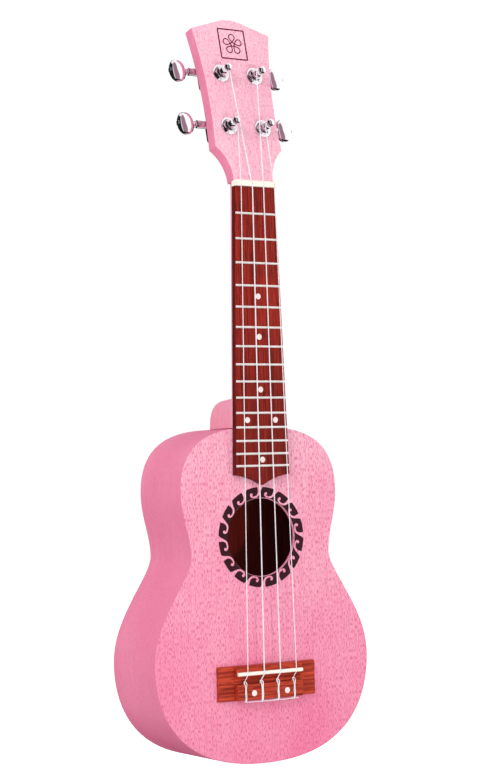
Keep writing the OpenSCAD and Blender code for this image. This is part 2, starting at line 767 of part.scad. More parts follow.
module tuner_button_screw(s) {
    head_from = button_end - 1.4;
    color(STEEL) at_tuner(s) difference() {
        union() {
            pin_a(1.9, head_from, head_from + 1.2);
            translate([21, worm_d, worm_u]) rotate([0, 90, 0])
                cylinder(h = head_from - 21, r = 0.7, $fn = 24);
        }
        translate([head_from + 0.7, worm_d - 3, worm_u - 0.3]) cube([2, 6, 0.6]);
    }
}
module housing_outline() {
    r = housing_corner_r;
    a = housing_a;
    u = housing_u;
    translate([a[0] + r, u[0]]) square([a[1] - a[0] - 2 * r, u[1] - u[0]]);
    translate([a[0], u[0] + r]) square([a[1] - a[0], u[1] - u[0] - 2 * r]);
    for (x = [a[0] + r, a[1] - r], y = [u[0] + r, u[1] - r]) translate([x, y]) circle(r, $fn = 32);
}
module tuner_housing(s) {
    at_tuner(s) difference() {
        union() {
            translate([0, housing_back, 0]) rotate([90, 0, 0])
                linear_extrude(housing_back - head_t) housing_outline();
            pin_a(collar_r, 6, collar_end);
            pin_d(0, ear_u, 2.7, head_t, head_t + 2);
            translate([-2.7, head_t, ear_u]) cube([5.4, 2, 4]);
        }
        pin_d(0, 0, post_r + post_fit, head_t - 1, head_t + 3);
        pin_d(0, 0, gear_r + 1, worm_d - gear_w / 2 - 0.3, housing_back + 1);
        pin_a(worm_out_r + 0.35, -worm_reach - 0.5, worm_reach + 0.5);
        translate([-worm_reach - 0.5, worm_d, worm_u - worm_out_r - 0.35])
            cube([2 * worm_reach + 1, 10, 2 * worm_out_r + 0.7]);
        pin_a(shaft_r + shaft_fit, -6.6, collar_end + 1);
        pin_d(0, ear_u, 1.0, head_t - 1, head_t + 3, 32);
    }
}
module tuner_housings() {
    color(CHROME) for (s = STRINGS) tuner_housing(s);
}
module tuner_covers() {
    color(CHROME) for (s = STRINGS) at_tuner(s) union() {
        translate([0, housing_back + cover_t, 0]) rotate([90, 0, 0])
            linear_extrude(cover_t) housing_outline();
        pin_d(0, 0, 4.6, housing_back + cover_t - 0.1, housing_back + cover_t + 0.5);
    }
}
module tuner_bushings() {
    color(CHROME) for (s = STRINGS) at_tuner(s) difference() {
        union() {
            pin_d(0, 0, bushing_r, -washer_t - 1, head_t);
            pin_d(0, 0, hex_r, -washer_t - 2.4, -washer_t, 6);
            translate([0, -washer_t - 2.4, 0]) rotate([90, 0, 0]) cylinder(h = 1.2, r1 = 4.6, r2 = 3.9);
        }
        pin_d(0, 0, post_r + post_fit, -washer_t - 5, head_t + 1);
    }
}
module tuner_washers() {
    color(CHROME) for (s = STRINGS) at_tuner(s) difference() {
        pin_d(0, 0, washer_r, -washer_t, 0);
        pin_d(0, 0, bushing_r, -washer_t - 1, 1);
    }
}
module tuner_mounting_screws() {
    color(CHROME) for (s = STRINGS) at_tuner(s) difference() {
        union() {
            pin_d(0, ear_u, 2.1, head_t + 2, head_t + 3.1);
            pin_d(0, ear_u, 0.9, head_t - 6, head_t + 2.5, 32);
        }
        translate([-3, head_t + 2.6, ear_u - 0.3]) cube([6, 1, 0.6]);
    }
}

soundboard();
rosette();
back();
bass_side();
treble_side();
top_lining();
back_lining();
neck_block();
tail_block();
top_braces();
back_braces();
bridge_plate();
neck();
headstock();
neck_dowels();
fingerboard();
nut();
frets();
position_dots();
bridge();
saddle();
bridge_dots();
bridge_screws();
tuner_housings();
tuner_covers();
tuner_bushings();
tuner_washers();
tuner_mounting_screws();
for (s = STRINGS) {
    string(s);
    string_winding(s);
    tuner_post(s);
    tuner_gear(s);
    tuner_gear_screw(s);
    tuner_worm_shaft(s);
    tuner_button(s);
    tuner_button_screw(s);
}
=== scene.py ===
import math

import bmesh
import bpy
from mathutils import Matrix, Vector
from mathutils.geometry import tessellate_polygon

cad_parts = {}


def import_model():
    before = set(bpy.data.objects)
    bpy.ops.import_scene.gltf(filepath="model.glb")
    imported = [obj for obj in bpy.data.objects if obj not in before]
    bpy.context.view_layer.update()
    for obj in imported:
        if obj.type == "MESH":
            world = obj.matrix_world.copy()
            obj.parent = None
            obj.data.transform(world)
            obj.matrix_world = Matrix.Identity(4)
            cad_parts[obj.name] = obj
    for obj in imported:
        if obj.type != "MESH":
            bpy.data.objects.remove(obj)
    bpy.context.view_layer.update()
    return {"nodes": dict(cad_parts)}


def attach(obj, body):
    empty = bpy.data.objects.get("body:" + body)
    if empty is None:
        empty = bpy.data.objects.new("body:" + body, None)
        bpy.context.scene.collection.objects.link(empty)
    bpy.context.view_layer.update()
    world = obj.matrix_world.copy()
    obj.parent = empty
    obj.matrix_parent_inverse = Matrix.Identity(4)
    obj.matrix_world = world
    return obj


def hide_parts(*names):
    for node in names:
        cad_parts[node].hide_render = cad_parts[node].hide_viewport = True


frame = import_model()

MM = 0.001
ROOT = "instrument"

# ---------------------------------------------------------------- sizes, in mm, as in the CAD
# Names that end in _AT are distances down from the nut and those in _U are heights up the headstock; _T is a
# thickness, _R a radius, _W a whole width. UPPER, WAIST and LOWER are half the body's widths.
BODY_TOP, BODY_TAIL = 172.7, 412.3
UPPER, UPPER_AT = 65.3, 218.3
WAIST, WAIST_AT = 57.8, 263.6
LOWER, LOWER_AT = 89.3, 339.1
DEPTH_TOP, DEPTH_TAIL = 59.0, 64.0
BACK_SLOPE = (DEPTH_TAIL - DEPTH_TOP) / (BODY_TAIL - BODY_TOP)
PLATE_T, RIB_T = 2.2, 1.8
HOLE_R, HOLE_AT = 27.8, 251.5
ROSETTE_OUT, ROSETTE_IN, HOOKS = 35.8, 28.2, 16

NUT_W, NUT_T, NUT_TOP = 34.0, 4.6, 5.9
HEEL_W, HEEL_L, HEEL_DEPTH, HEEL_CORNER, HEEL_DRAW = 43.4, 20.5, 41.0, 4.3, 3.6
NECK_DEPTH, NECK_DEEPENS, NECK_REACH = 13.5, 1.5, 23.5
BOARD_T, BOARD_END, BOARD_TIP = 4.5, 207.0, 214.3
SCALE_LENGTH, FRETS = 346.0, 15
FRET_W, FRET_H = 1.6, 0.9
DOT_R, DOUBLE_DOT_X = 2.1, 11.8

HEAD_TILT, HEAD_T, HEAD_RAISE = math.radians(13.5), 10.0, 3.6
HEAD_SIDE, SHOULDER, CROWN = 117.0, 28.1, 33.0
FLARE_R, FLARE_U = 30.0, 1.8
SIDE_R, SIDE_U, SIDE_X = 360.0, 52.0, 27.1
GABLE, GABLE_R = 18.5, 30.0
MOTIF_U, MOTIF_HALF, MOTIF_LINE = 107.0, 11.0, 0.44

STRINGS = ["g", "c", "e", "a"]
SIDE = {"g": -1, "c": -1, "e": 1, "a": 1}
STRING_WIDTH = {"g": 0.6, "c": 0.86, "e": 0.76, "a": 0.6}
NUT_STEP, NUT_SHIFT = 9.4, 1.3
SADDLE_STEP, SADDLE_SHIFT = 13.6, 0.5
SADDLE_AT, SADDLE_TOP, SADDLE_HALF_T, SADDLE_HALF_L = 347.2, 8.6, 1.3, 27.1
BRIDGE_FROM, BRIDGE_TO, BRIDGE_HALF, BRIDGE_MIDDLE = 341.6, 366.0, 40.5, 27.5
TIE_TOP, TIE_DOT_X, TIE_DOT_AT = 7.2, 13.8, 361.1

POST_HALF, POST_U = 14.3, {"g": 41.3, "c": 82.6, "e": 82.6, "a": 41.3}
POST_END, POST_DOME_R = -13.8, 2.94
WRAP_HEIGHT, WRAP_R, COILS = 8.1, 2.2, 2
WORM_U, WORM_DEPTH = 6.0, 14.0
BUTTON_END, BUTTON_W, BUTTON_T, BUTTON_H = 34.2, 13.6, 6.8, 17.5


def point(x, y, s):
    """A point across the width, into the depth and down from the nut, all in mm."""
    return Vector((x, y, -s)) * MM


HEAD_FRAME = Matrix.Translation((0, -HEAD_RAISE * MM, NUT_T * MM)) @ Matrix.Rotation(-HEAD_TILT, 4, "X")


def on_head(x, d, u):
    """A point of the headstock: across, into the wood from its face, and up along it, in mm."""
    return HEAD_FRAME @ (Vector((x, d, u)) * MM)


# ---------------------------------------------------------------- materials
class Surface:
    """A principled material whose detail is built from nodes in the object's own coordinates, in mm."""

    def __init__(self, name):
        self.mat = bpy.data.materials.new(name)
        self.mat.use_nodes = True
        self.tree = self.mat.node_tree
        self.bsdf = self.tree.nodes["Principled BSDF"]
        self.coords = self.node("TexCoord").outputs["Object"]

    def feed(self, node, key, value):
        """Links the value to the node's input, or sets it there where it is a plain value."""
        socket = node.inputs[key]
        if isinstance(value, bpy.types.NodeSocket):
            self.tree.links.new(value, socket)
        else:
            socket.default_value = value

    def node(self, kind, inputs=(), **settings):
        node = self.tree.nodes.new("ShaderNode" + kind)
        for key, value in settings.items():
            setattr(node, key, value)
        for key, value in dict(inputs).items():
            self.feed(node, key, value)
        return node

    def noise(self, per_mm, detail=2.0, rough=0.5, distort=0.0, shift=(0, 0, 0)):
        """Noise with its own number of features a mm along x, y and z."""
        scaled = self.node("Mapping", {"Vector": self.coords, "Scale": [v * 1000 for v in per_mm],
                                       "Location": shift}, vector_type="POINT")
        found = self.node("TexNoise", {"Vector": scaled.outputs[0], "Scale": 1.0, "Detail": detail,
                                       "Roughness": rough, "Distortion": distort})
        return found.outputs[0]

    def height(self):
        return self.node("SeparateXYZ", {"Vector": self.coords}).outputs["Z"]

    def ramp(self, value, low, high, from_=0.0, to=1.0):
        found = self.node("MapRange", {"Value": value, "From Min": low, "From Max": high,
                                       "To Min": from_, "To Max": to}, clamp=True)
        return found.outputs[0]

    def math(self, operation, a, b=0.0):
        return self.node("Math", {0: a, 1: b}, operation=operation).outputs[0]

    def mix(self, factor, a, b, blend="MIX"):
        node = self.tree.nodes.new("ShaderNodeMix")
        node.data_type = "RGBA"
        node.blend_type = blend
        for index, value in ((0, factor), (6, a), (7, b)):
            if isinstance(value, tuple) and len(value) == 3:
                value = (*value, 1.0)
            self.feed(node, index, value)
        return node.outputs[2]

    def bump(self, height, distance_mm, strength=1.0):
        node = self.node("Bump", {"Height": height, "Distance": distance_mm * MM, "Strength": strength})
        self.feed(self.bsdf, "Normal", node.outputs[0])

    def finish(self, **inputs):
        for key, value in inputs.items():
            if isinstance(value, tuple) and len(value) == 3:
                value = (*value, 1.0)
            self.feed(self.bsdf, key.replace("_", " "), value)
        return self.mat


def srgb(r, g, b):
    """An sRGB colour from 0 to 255, as linear light."""
    return tuple((c / 255 / 12.92) if c / 255 <= 0.04045 else ((c / 255 + 0.055) / 1.055) ** 2.4
                 for c in (r, g, b))


def pink_wood(name, light, dark, pore_amount, grain, painted_shade=None):
    """Stained open-pore wood: short dark pores along the grain, faint streaks and a cloudy stain. The last
    argument gives the stretch of heights over which the colour turns darker toward the bottom, and how much:
    painted shade."""
    m = Surface(name)
    pores = m.ramp(m.noise((1.5, 1.5, 0.36), 0.0), 0.52, 0.62)
    patches = m.ramp(m.noise((0.5, 0.5, 0.02), 1.0), 0.35, 0.6, 0.6, 1.0)
    pits = m.math("MULTIPLY", m.math("MULTIPLY", pores, patches), pore_amount)
    streaks = m.noise((0.85, 0.85, 0.03), 1.0, 0.5)
    cloud = m.ramp(m.noise((0.018, 0.018, 0.012), 2.0), 0.35, 0.65, 0.0, 0.25)
    # Painted shade: the colour turns darker toward the bottom, added on top of the cloudy stain.
    if painted_shade:
        start, end, amount = painted_shade
        cloud = m.math("ADD", cloud, m.ramp(m.height(), start, end, 0.0, amount))
    tone = m.mix(cloud, light, dark)
    tone = m.mix(m.ramp(streaks, 0.46, 0.62, 0.0, grain), tone, dark)
    colour = m.mix(pits, tone, tuple(c * f for c, f in zip(dark, (0.78, 0.55, 0.62))))
    m.bump(m.math("MULTIPLY", pits, -1.0), 0.12, 0.6)
    rough = m.ramp(pits, 0.0, 1.0, 0.50, 0.75)
    return m.finish(Base_Color=colour, Roughness=rough, Specular_IOR_Level=0.25)


def red_wood(name, light, dark, along, line, painted_shade=0.0):
    """Red-brown hardwood with its grain along x or z, that may be painted darker toward the body as shade."""
    m = Surface(name)
    upright = along == "z"
    wide = (0.16, 0.16, 0.006) if upright else (0.006, 0.16, 0.16)
    long = (0.9, 0.9, 0.018) if upright else (0.018, 0.7, 0.7)
    short = (2.0, 2.0, 0.09) if upright else (0.09, 2.0, 2.0)
    bands = m.ramp(m.noise(wide, 2.0, 0.5, 0.4), 0.3, 0.7)
    lines = m.ramp(m.noise(long, 3.0, 0.65, 0.3), 0.45, 0.62)
    pores = m.ramp(m.noise(short, 1.0, 0.5, 0.2, (3, 8, 1)), 0.55, 0.66)
    tone = m.mix(bands, light, tuple((a + b) / 2 for a, b in zip(light, dark)))
    # Painted shade: the wood turns darker lower down, toward the body.
    if painted_shade:
        tone = m.mix(m.ramp(m.height(), -0.09, -0.20, 0.0, painted_shade), tone, dark)
    tone = m.mix(m.math("MULTIPLY", lines, line), tone, dark)
    colour = m.mix(m.math("MULTIPLY", pores, 0.6), tone, tuple(c * 0.3 for c in dark))
    m.bump(m.math("MULTIPLY", pores, -1.0), 0.08, 0.6)
    rough = m.ramp(lines, 0.0, 1.0, 0.45, 0.6)
    return m.finish(Base_Color=colour, Roughness=rough, Specular_IOR_Level=0.15)


def plain_wood(name, light, dark):
    """Bare wood of the inner strips and of the body's inside, grain along the neck's direction."""
    m = Surface(name)
    lines = m.ramp(m.noise((0.8, 0.8, 0.03), 3.0, 0.6, 0.3), 0.35, 0.7)
    fuzz = m.noise((3.0, 3.0, 0.8), 2.0)
    colour = m.mix(lines, light, dark)
    m.bump(fuzz, 0.05, 0.5)
    return m.finish(Base_Color=colour, Roughness=m.ramp(fuzz, 0.3, 0.7, 0.6, 0.8))


def ivory_plastic(name, colour, shade, gloss=0.4):
    """Polished plastic, nylon or lacquered inlay with a slight cloudiness."""
    m = Surface(name)
    cloud = m.noise((0.25, 0.25, 0.25), 2.0)
    fine = m.noise((4.0, 4.0, 4.0), 2.0)
    m.bump(fine, 0.01, 0.4)
    return m.finish(Base_Color=m.mix(m.ramp(cloud, 0.3, 0.7), colour, shade),
                    Roughness=m.ramp(cloud, 0.3, 0.7, 0.30, 0.42), Specular_IOR_Level=gloss)


def metal(name, colour, rough, brushed=0.0, metallic=1.0):
    """Plated or bare metal with faint smudges and, where asked, fine turning marks."""
    m = Surface(name)
    smudge = m.noise((0.30, 0.30, 0.30), 3.0, 0.6)
    marks = m.noise((5.0, 5.0, 5.0), 2.0, 0.6)
    m.bump(marks, 0.004 + brushed * 0.02, 0.4)
    tone = m.mix(m.ramp(smudge, 0.3, 0.8), colour, tuple(c * 0.85 for c in colour))
    return m.finish(Base_Color=tone, Metallic=metallic,
                    Roughness=m.ramp(smudge, 0.25, 0.75, rough, rough * 1.8 + 0.02))


M = {
    # The board's and the side's last numbers paint them darker toward the bottom: painted shade.
    "board": pink_wood("pink_soundboard", srgb(251, 190, 207), srgb(240, 118, 160), 0.72, 0.30,
                       (-0.17, -0.42, 0.66)),
    "head": pink_wood("pink_head_wood", srgb(253, 200, 216), srgb(244, 140, 174), 0.45, 0.24),
    "side": pink_wood("pink_side_wood", srgb(242, 142, 175), srgb(222, 84, 132), 0.16, 0.16,
                      (-0.37, -0.415, 0.7)),
    "neck": pink_wood("pink_neck_wood", srgb(247, 172, 192), srgb(236, 126, 158), 0.18, 0.22),
    # The fingerboard's last number paints it darker toward the body: painted shade.
    "finger": red_wood("redwood_fingerboard", srgb(178, 46, 32), srgb(80, 12, 8), "z", 0.82, 0.40),
    # A darker copy of the fingerboard's wood for its edges: painted shade on the sides.
    "finger_edge_shade": red_wood("redwood_edge_painted_shade", srgb(116, 28, 22), srgb(80, 14, 10), "z", 0.85),
    "bridge": red_wood("redwood_bridge", srgb(216, 78, 52), srgb(124, 30, 20), "x", 0.85),
    "inside": plain_wood("inner_wood", srgb(136, 32, 20), srgb(92, 20, 12)),
    "strip": plain_wood("strip_wood", srgb(120, 42, 28), srgb(90, 28, 18)),
    "inlay": ivory_plastic("rosette_inlay", srgb(58, 24, 32), srgb(46, 18, 24), 0.12),
    "line": ivory_plastic("motif_line", srgb(92, 16, 44), srgb(120, 34, 62), 0.1),
    "ivory": ivory_plastic("ivory", srgb(255, 250, 240), srgb(250, 242, 228)),
    "dot": ivory_plastic("dot_inlay", srgb(255, 246, 242), srgb(246, 222, 220)),
    "nylon": ivory_plastic("string_nylon", srgb(252, 250, 252), srgb(236, 230, 238)),
    "fret": metal("fret_metal", (0.97, 0.93, 0.90), 0.35, metallic=0.25),
    "chrome": metal("tuner_chrome", (0.93, 0.93, 0.95), 0.04),
    "brass": metal("brass", (0.80, 0.60, 0.28), 0.25, 1.0),
    "steel": metal("steel", (0.62, 0.62, 0.64), 0.25, 1.0),
}


# ---------------------------------------------------------------- mesh tools
def build(name, points, faces, materials, indices=None, sharp=35):
    """A smooth-shaded object with one material, or with several and each face's index into them."""
    mesh = bpy.data.meshes.new(name)
    mesh.from_pydata([tuple(p) for p in points], [], faces)
    for key in materials if isinstance(materials, (list, tuple)) else [materials]:
        mesh.materials.append(M[key])
    if indices:
        mesh.polygons.foreach_set("material_index", indices)
    fix = bmesh.new()
    fix.from_mesh(mesh)
    bmesh.ops.remove_doubles(fix, verts=fix.verts, dist=1e-7)
    bmesh.ops.recalc_face_normals(fix, faces=fix.faces)
    fix.to_mesh(mesh)
    fix.free()
    mesh.polygons.foreach_set("use_smooth", [True] * len(mesh.polygons))
    mesh.set_sharp_from_angle(angle=math.radians(sharp))
    obj = bpy.data.objects.new(name, mesh)
    bpy.context.scene.collection.objects.link(obj)
    return obj


def put(obj, body, slot, *nodes):
    """Lets the object ride on its body in place of the CAD nodes it stands for. The slot argument is not used.
    """
    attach(obj, body)
    if nodes:
        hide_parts(*nodes)
    return obj


def arc(centre, r, start, end, steps):
    """Points of an arc between two angles in degrees."""
    return [(centre[0] + r * math.cos(math.radians(start + (end - start) * i / steps)),
             centre[1] + r * math.sin(math.radians(start + (end - start) * i / steps)))
            for i in range(steps + 1)]


def both_sides(half):
    """The outline whose treble half is given, closed over the middle line."""
    return half + [(-x, v) for x, v in reversed(half) if x > 0.001]


def inset(outline, distance):
    """The closed outline moved inward along its corner normals, by no more than its corners allow."""
    count = len(outline)
    area = sum(outline[i][0] * outline[(i + 1) % count][1] - outline[(i + 1) % count][0] * outline[i][1]
               for i in range(count))
    turn = 1 if area > 0 else -1
    moved = []
    for i in range(count):
        here = Vector(outline[i])
        before = (here - Vector(outline[i - 1])).normalized()
        after = (Vector(outline[(i + 1) % count]) - here).normalized()
        n1, n2 = Vector((-before.y, before.x)) * turn, Vector((-after.y, after.x)) * turn
        moved.append(tuple(here + distance * (n1 + n2) / max(0.5, 1 + n1.dot(n2))))
    return moved


def plate(name, outline, place, front, back, rim_front, rim_back, materials, hole=None, face_mat=(0, 0, 0),
          rim=4):
    """A flat board with rounded rims. place(x, depth, v) puts a point, front and back are depths, and face_mat
    says which of the materials the front face, the back face and the edge have."""
    rings, depths = [], []
    for i in range(rim + 1):
        a = math.pi / 2 * i / rim
        rings.append(rim_front * (1 - math.sin(a)))
        depths.append((0, rim_front * (1 - math.cos(a))))
    for i in range(rim + 1):
        a = math.pi / 2 * i / rim
        rings.append(rim_back * (1 - math.cos(a)))
        depths.append((1, -rim_back * (1 - math.sin(a))))
    points, faces, marks = [], [], []

    def loops(shape, sign):
        """Adds the rim of the outline or, with sign -1, of the hole; returns its first point's number."""
        count, first = len(shape), len(points)
        for distance, (end, more) in zip(rings, depths):
            depth = (back if end else front) + more
            points.extend(place(x, depth, v) for x, v in inset(shape, sign * distance))
        for k in range(len(rings) - 1):
            for i in range(count):
                j = (i + 1) % count
                a = first + k * count
                faces.append((a + i, a + j, a + count + j, a + count + i))
                marks.append(face_mat[0] if k < rim - 1 else face_mat[1] if k > rim + 1 else face_mat[2])
        return first

    shapes = [(outline, 1)] + ([(hole, -1)] if hole else [])
    starts = [loops(shape, sign) for shape, sign in shapes]
    for level, mark in ((0, face_mat[0]), (len(rings) - 1, face_mat[1])):
        ids = [first + level * len(shape) + i for first, (shape, _) in zip(starts, shapes)
               for i in range(len(shape))]
        flat = [[Vector((*p, 0)) for p in inset(shape, sign * rings[level])] for shape, sign in shapes]
        for t in tessellate_polygon(flat):
            faces.append(tuple(ids[i] for i in t))
            marks.append(mark)
    return build(name, points, faces, materials, marks)


def skin(size, rows):
    """Faces between rows of points, each row a closed ring of the same size."""
    return [(r * size + i, r * size + (i + 1) % size, (r + 1) * size + (i + 1) % size, (r + 1) * size + i)
            for r in range(rows) for i in range(size)]


def caps(size, last):
    """The faces that close the first ring and the last one."""
    return [tuple(range(size)), tuple(last * size + i for i in reversed(range(size)))]


def sweep(path, radius, sides=10):
    """Points and faces of a closed tube along a path in metres, with as little twist as the path allows."""
    path = [Vector(p) for p in path]
    last = len(path) - 1
    points = []
    normal = None
    for i, p in enumerate(path):
        way = (path[min(i + 1, last)] - path[max(i - 1, 0)]).normalized()
        if normal is None:
            normal = way.orthogonal()
        normal = (normal - way * normal.dot(way)).normalized()
        other = way.cross(normal)
        for k in range(sides):
            a = 2 * math.pi * k / sides
            points.append(p + radius * (math.cos(a) * normal + math.sin(a) * other))
    return points, skin(sides, last) + caps(sides, last)


def smooth_path(points, steps=6):
    """A smooth curve through the points."""
    pts = [Vector(p) for p in points]
    pts = [pts[0] * 2 - pts[1]] + pts + [pts[-1] * 2 - pts[-2]]
    out = []
    for a, b, c, d in zip(pts, pts[1:], pts[2:], pts[3:]):
        for i in range(steps):
            t = i / steps
            out.append(0.5 * (2 * b + (c - a) * t + (2 * a - 5 * b + 4 * c - d) * t * t
                              + (3 * b - a - 3 * c + d) * t ** 3))
    return out + [pts[-2]]


def join(parts):
    """The points and faces of several shapes as one."""
    points, faces = [], []
    for more_points, more_faces in parts:
        first = len(points)
        points += more_points
        faces += [tuple(first + i for i in f) for f in more_faces]
    return points, faces


def lathe(profile, place, steps=48):
    """A turned shape: profile gives (radius, height) pairs from one end of the axis to the other, in mm."""
    points, faces, rows = [], [], []
    for r, h in profile:
        if r < 1e-6:
            rows.append([len(points)] * steps)
            points.append(place(0, 0, h))
        else:
            rows.append([len(points) + k for k in range(steps)])
            points += [place(r * math.cos(2 * math.pi * k / steps), r * math.sin(2 * math.pi * k / steps), h)
                       for k in range(steps)]
    for a, b in zip(rows, rows[1:]):
        for k in range(steps):
            j = (k + 1) % steps
            face = tuple(dict.fromkeys((a[k], a[j], b[j], b[k])))
            if len(face) > 2:
                faces.append(face)
    for row in (rows[0], rows[-1]):
        if len(set(row)) > 2:
            faces.append(tuple(row))
    return points, faces


# ---------------------------------------------------------------- body
def cubic(p, t):
    """The point at t of a cubic curve with four control points."""
    return tuple((1 - t) ** 3 * a + 3 * (1 - t) ** 2 * t * b + 3 * (1 - t) * t * t * c + t ** 3 * d
                 for a, b, c, d in zip(*p))


def half_outline(steps=30):
    """The treble half of the body's outline, from the neck to the tail."""
    curves = [
        [(0, BODY_TOP), (27.2, BODY_TOP), (UPPER, UPPER_AT - 43.5), (UPPER, UPPER_AT)],
        [(UPPER, UPPER_AT), (UPPER, UPPER_AT + 17.1), (WAIST, WAIST_AT - 14.4), (WAIST, WAIST_AT)],
        [(WAIST, WAIST_AT), (WAIST, WAIST_AT + 15.6), (LOWER, LOWER_AT - 33.7), (LOWER, LOWER_AT)],
        [(LOWER, LOWER_AT), (LOWER, LOWER_AT + 29.6), (75.3, BODY_TAIL), (0, BODY_TAIL)]]
    return [cubic(c, i / steps) for k, c in enumerate(curves) for i in range(0 if k == 0 else 1, steps + 1)]


HALF = half_outline()
OUTLINE = both_sides(HALF)
HOLE = arc((0, HOLE_AT), HOLE_R, 0, 360, 120)[:-1]


def back_depth(s):
    """The back's depth at a distance from the nut."""
    return DEPTH_TOP + BACK_SLOPE * (s - BODY_TOP)


top = plate("top_plate", OUTLINE, point, 0, PLATE_T, 0.9, 0.01, ["board", "inside", "side"], HOLE, (0, 1, 2), 5)
put(top, ROOT, "pink_soundboard", "soundboard")
back_start = DEPTH_TOP - BACK_SLOPE * BODY_TOP
back = plate("back_plate", OUTLINE, lambda x, y, s: point(x, y + BACK_SLOPE * s, s), back_start - PLATE_T,
             back_start, 0.01, 0.9, ["inside", "side"], None, (0, 1, 1), 5)
put(back, ROOT, "pink_side_wood", "back")


def rib(name, sign, node):
    """One bent side: an outer and an inner wall between the two plates, closed at its ends."""
    outer = [(sign * x, s) for x, s in HALF]
    whole = inset(OUTLINE, RIB_T)
    inner = [(sign * abs(x), s) for x, s in whole[:len(HALF)]]
    inner[0], inner[-1] = (0, BODY_TOP + RIB_T), (0, BODY_TAIL - RIB_T)
    points = []
    levels = 8
    for x, s in outer:
        points += [point(x, PLATE_T + (back_depth(s) - 2 * PLATE_T) * k / levels, s) for k in range(levels + 1)]
    start = len(points)
    for x, s in inner:
        points += [point(x, PLATE_T, s), point(x, back_depth(s) - PLATE_T, s)]
    faces, marks = [], []
    count, row = len(outer), levels + 1
    for i in range(count - 1):
        for k in range(levels):
            a = i * row + k
            faces.append((a, a + 1, a + row + 1, a + row))
            marks.append(0)
        b = start + 2 * i
        faces.append((b, b + 2, b + 3, b + 1))
        marks.append(1)
        faces.append((i * row, (i + 1) * row, b + 2, b))
        faces.append((i * row + levels, (i + 1) * row + levels, b + 3, b + 1))
        marks += [1, 1]
    for i in (0, count - 1):
        faces.append(tuple([i * row + k for k in range(row)] + [start + 2 * i + 1, start + 2 * i]))
        marks.append(0)
    return put(build(name, points, faces, ["side", "inside"], marks), ROOT, "pink_side_wood", node)


rib("rib_bass", -1, "bass_side")
rib("rib_treble", 1, "treble_side")


# ---------------------------------------------------------------- rosette
def rosette_ring(height, steps=192):
    """The dark ring round the soundhole, a little proud of the board."""
    points, faces = [], []
    turns = [2 * math.pi * i / steps for i in range(steps)]
    for r, y in ((ROSETTE_IN, 0.02), (ROSETTE_IN, -height), (ROSETTE_OUT, -height), (ROSETTE_OUT, 0.02)):
        points += [point(r * math.cos(a), y, HOLE_AT + r * math.sin(a)) for a in turns]
    for k in range(4):
        for i in range(steps):
            j, n = (i + 1) % steps, (k + 1) % 4
            faces.append((k * steps + i, k * steps + j, n * steps + j, n * steps + i))
    return build("rosette_ring", points, faces, "inlay")


def hook(turn):
    """One curling hook of bare board left in the dark ring: a wide root at the rim that ends in a ball. Each
    point of the spine has an angle in degrees, a radius and half a width."""
    spine = [(0.8, 36.4, 2.3), (0.1, 34.8, 1.7), (-0.5, 33.2, 1.15), (-1.4, 31.5, 0.85), (-3.3, 30.0, 0.72),
             (-6.0, 29.2, 0.66), (-9.5, 29.05, 0.62), (-12.6, 29.5, 0.56), (-14.4, 30.5, 0.5),
             (-14.1, 31.4, 0.45), (-13.2, 31.6, 0.42)]
    ball_angle, ball_at, ball_r, ball_sides = math.radians(-12.9), 31.3, 1.05, 20
    path = smooth_path([Vector((math.radians(a), r, w)) for a, r, w in spine], 5)
    left, right = [], []

    def flat(a, r):
        return Vector((r * math.sin(a + turn), -r * math.cos(a + turn)))

    spots = [flat(p.x, p.y) for p in path]
    for i, p in enumerate(path):
        way = (spots[min(i + 1, len(spots) - 1)] - spots[max(i - 1, 0)]).normalized()
        across = Vector((-way.y, way.x)) * p.z
        left.append(spots[i] + across)
        right.append(spots[i] - across)
    strip = [point(v.x, -0.08, HOLE_AT + v.y) for v in left + right]
    n = len(left)
    ball = flat(ball_angle, ball_at)
    turns = [2 * math.pi * k / ball_sides for k in range(ball_sides)]
    disc = [point(ball.x + ball_r * math.cos(a), -0.085, HOLE_AT + ball.y + ball_r * math.sin(a))
            for a in turns]
    strip_faces = [(i, i + 1, n + i + 1, n + i) for i in range(n - 1)]
    return [(strip, strip_faces), (disc, [tuple(range(ball_sides))])]


put(rosette_ring(0.05), ROOT, "rosette_inlay", "rosette")
hooks = [part for k in range(HOOKS) for part in hook(math.radians(-1.0 + 360 / HOOKS * k))]
put(build("rosette_hooks", *join(hooks), "board"), ROOT, "pink_soundboard")


# ---------------------------------------------------------------- neck, headstock, fingerboard
def board_half(s):
    """Half the fingerboard's width at a distance from the nut."""
    return (NUT_W + (HEEL_W - NUT_W) * s / BODY_TOP) / 2


def neck_rows():
    """Stations down the neck: distance from the nut, depth, and how far the section has become the heel's."""
    shaft = (-NECK_REACH, -18, -12, -8, -4.7, -4.5, 0, 15, 30, 50, 70, 90, 110, 128, 140, 147, 150)
    rows = [(s, NECK_DEPTH + NECK_DEEPENS * s / BODY_TOP, 0.0) for s in shaft]
    start, blend, steps = 12, 7, 26
    for i in range(steps + 1):
        a = math.radians(90 * (i / steps) ** 1.4)
        s = BODY_TOP - HEEL_L * math.cos(a) ** 0.7
        y = start + (HEEL_DEPTH - start) * math.sin(a) ** 0.7
        base = NECK_DEPTH + NECK_DEEPENS * s / BODY_TOP
        deep = min(HEEL_DEPTH, (base ** blend + y ** blend) ** (1 / blend))
        rows.append((s, deep, min(1.0, max(0.0, (deep - base) / 16))))
    return rows + [(BODY_TOP + 0.4, HEEL_DEPTH, 1.0)]


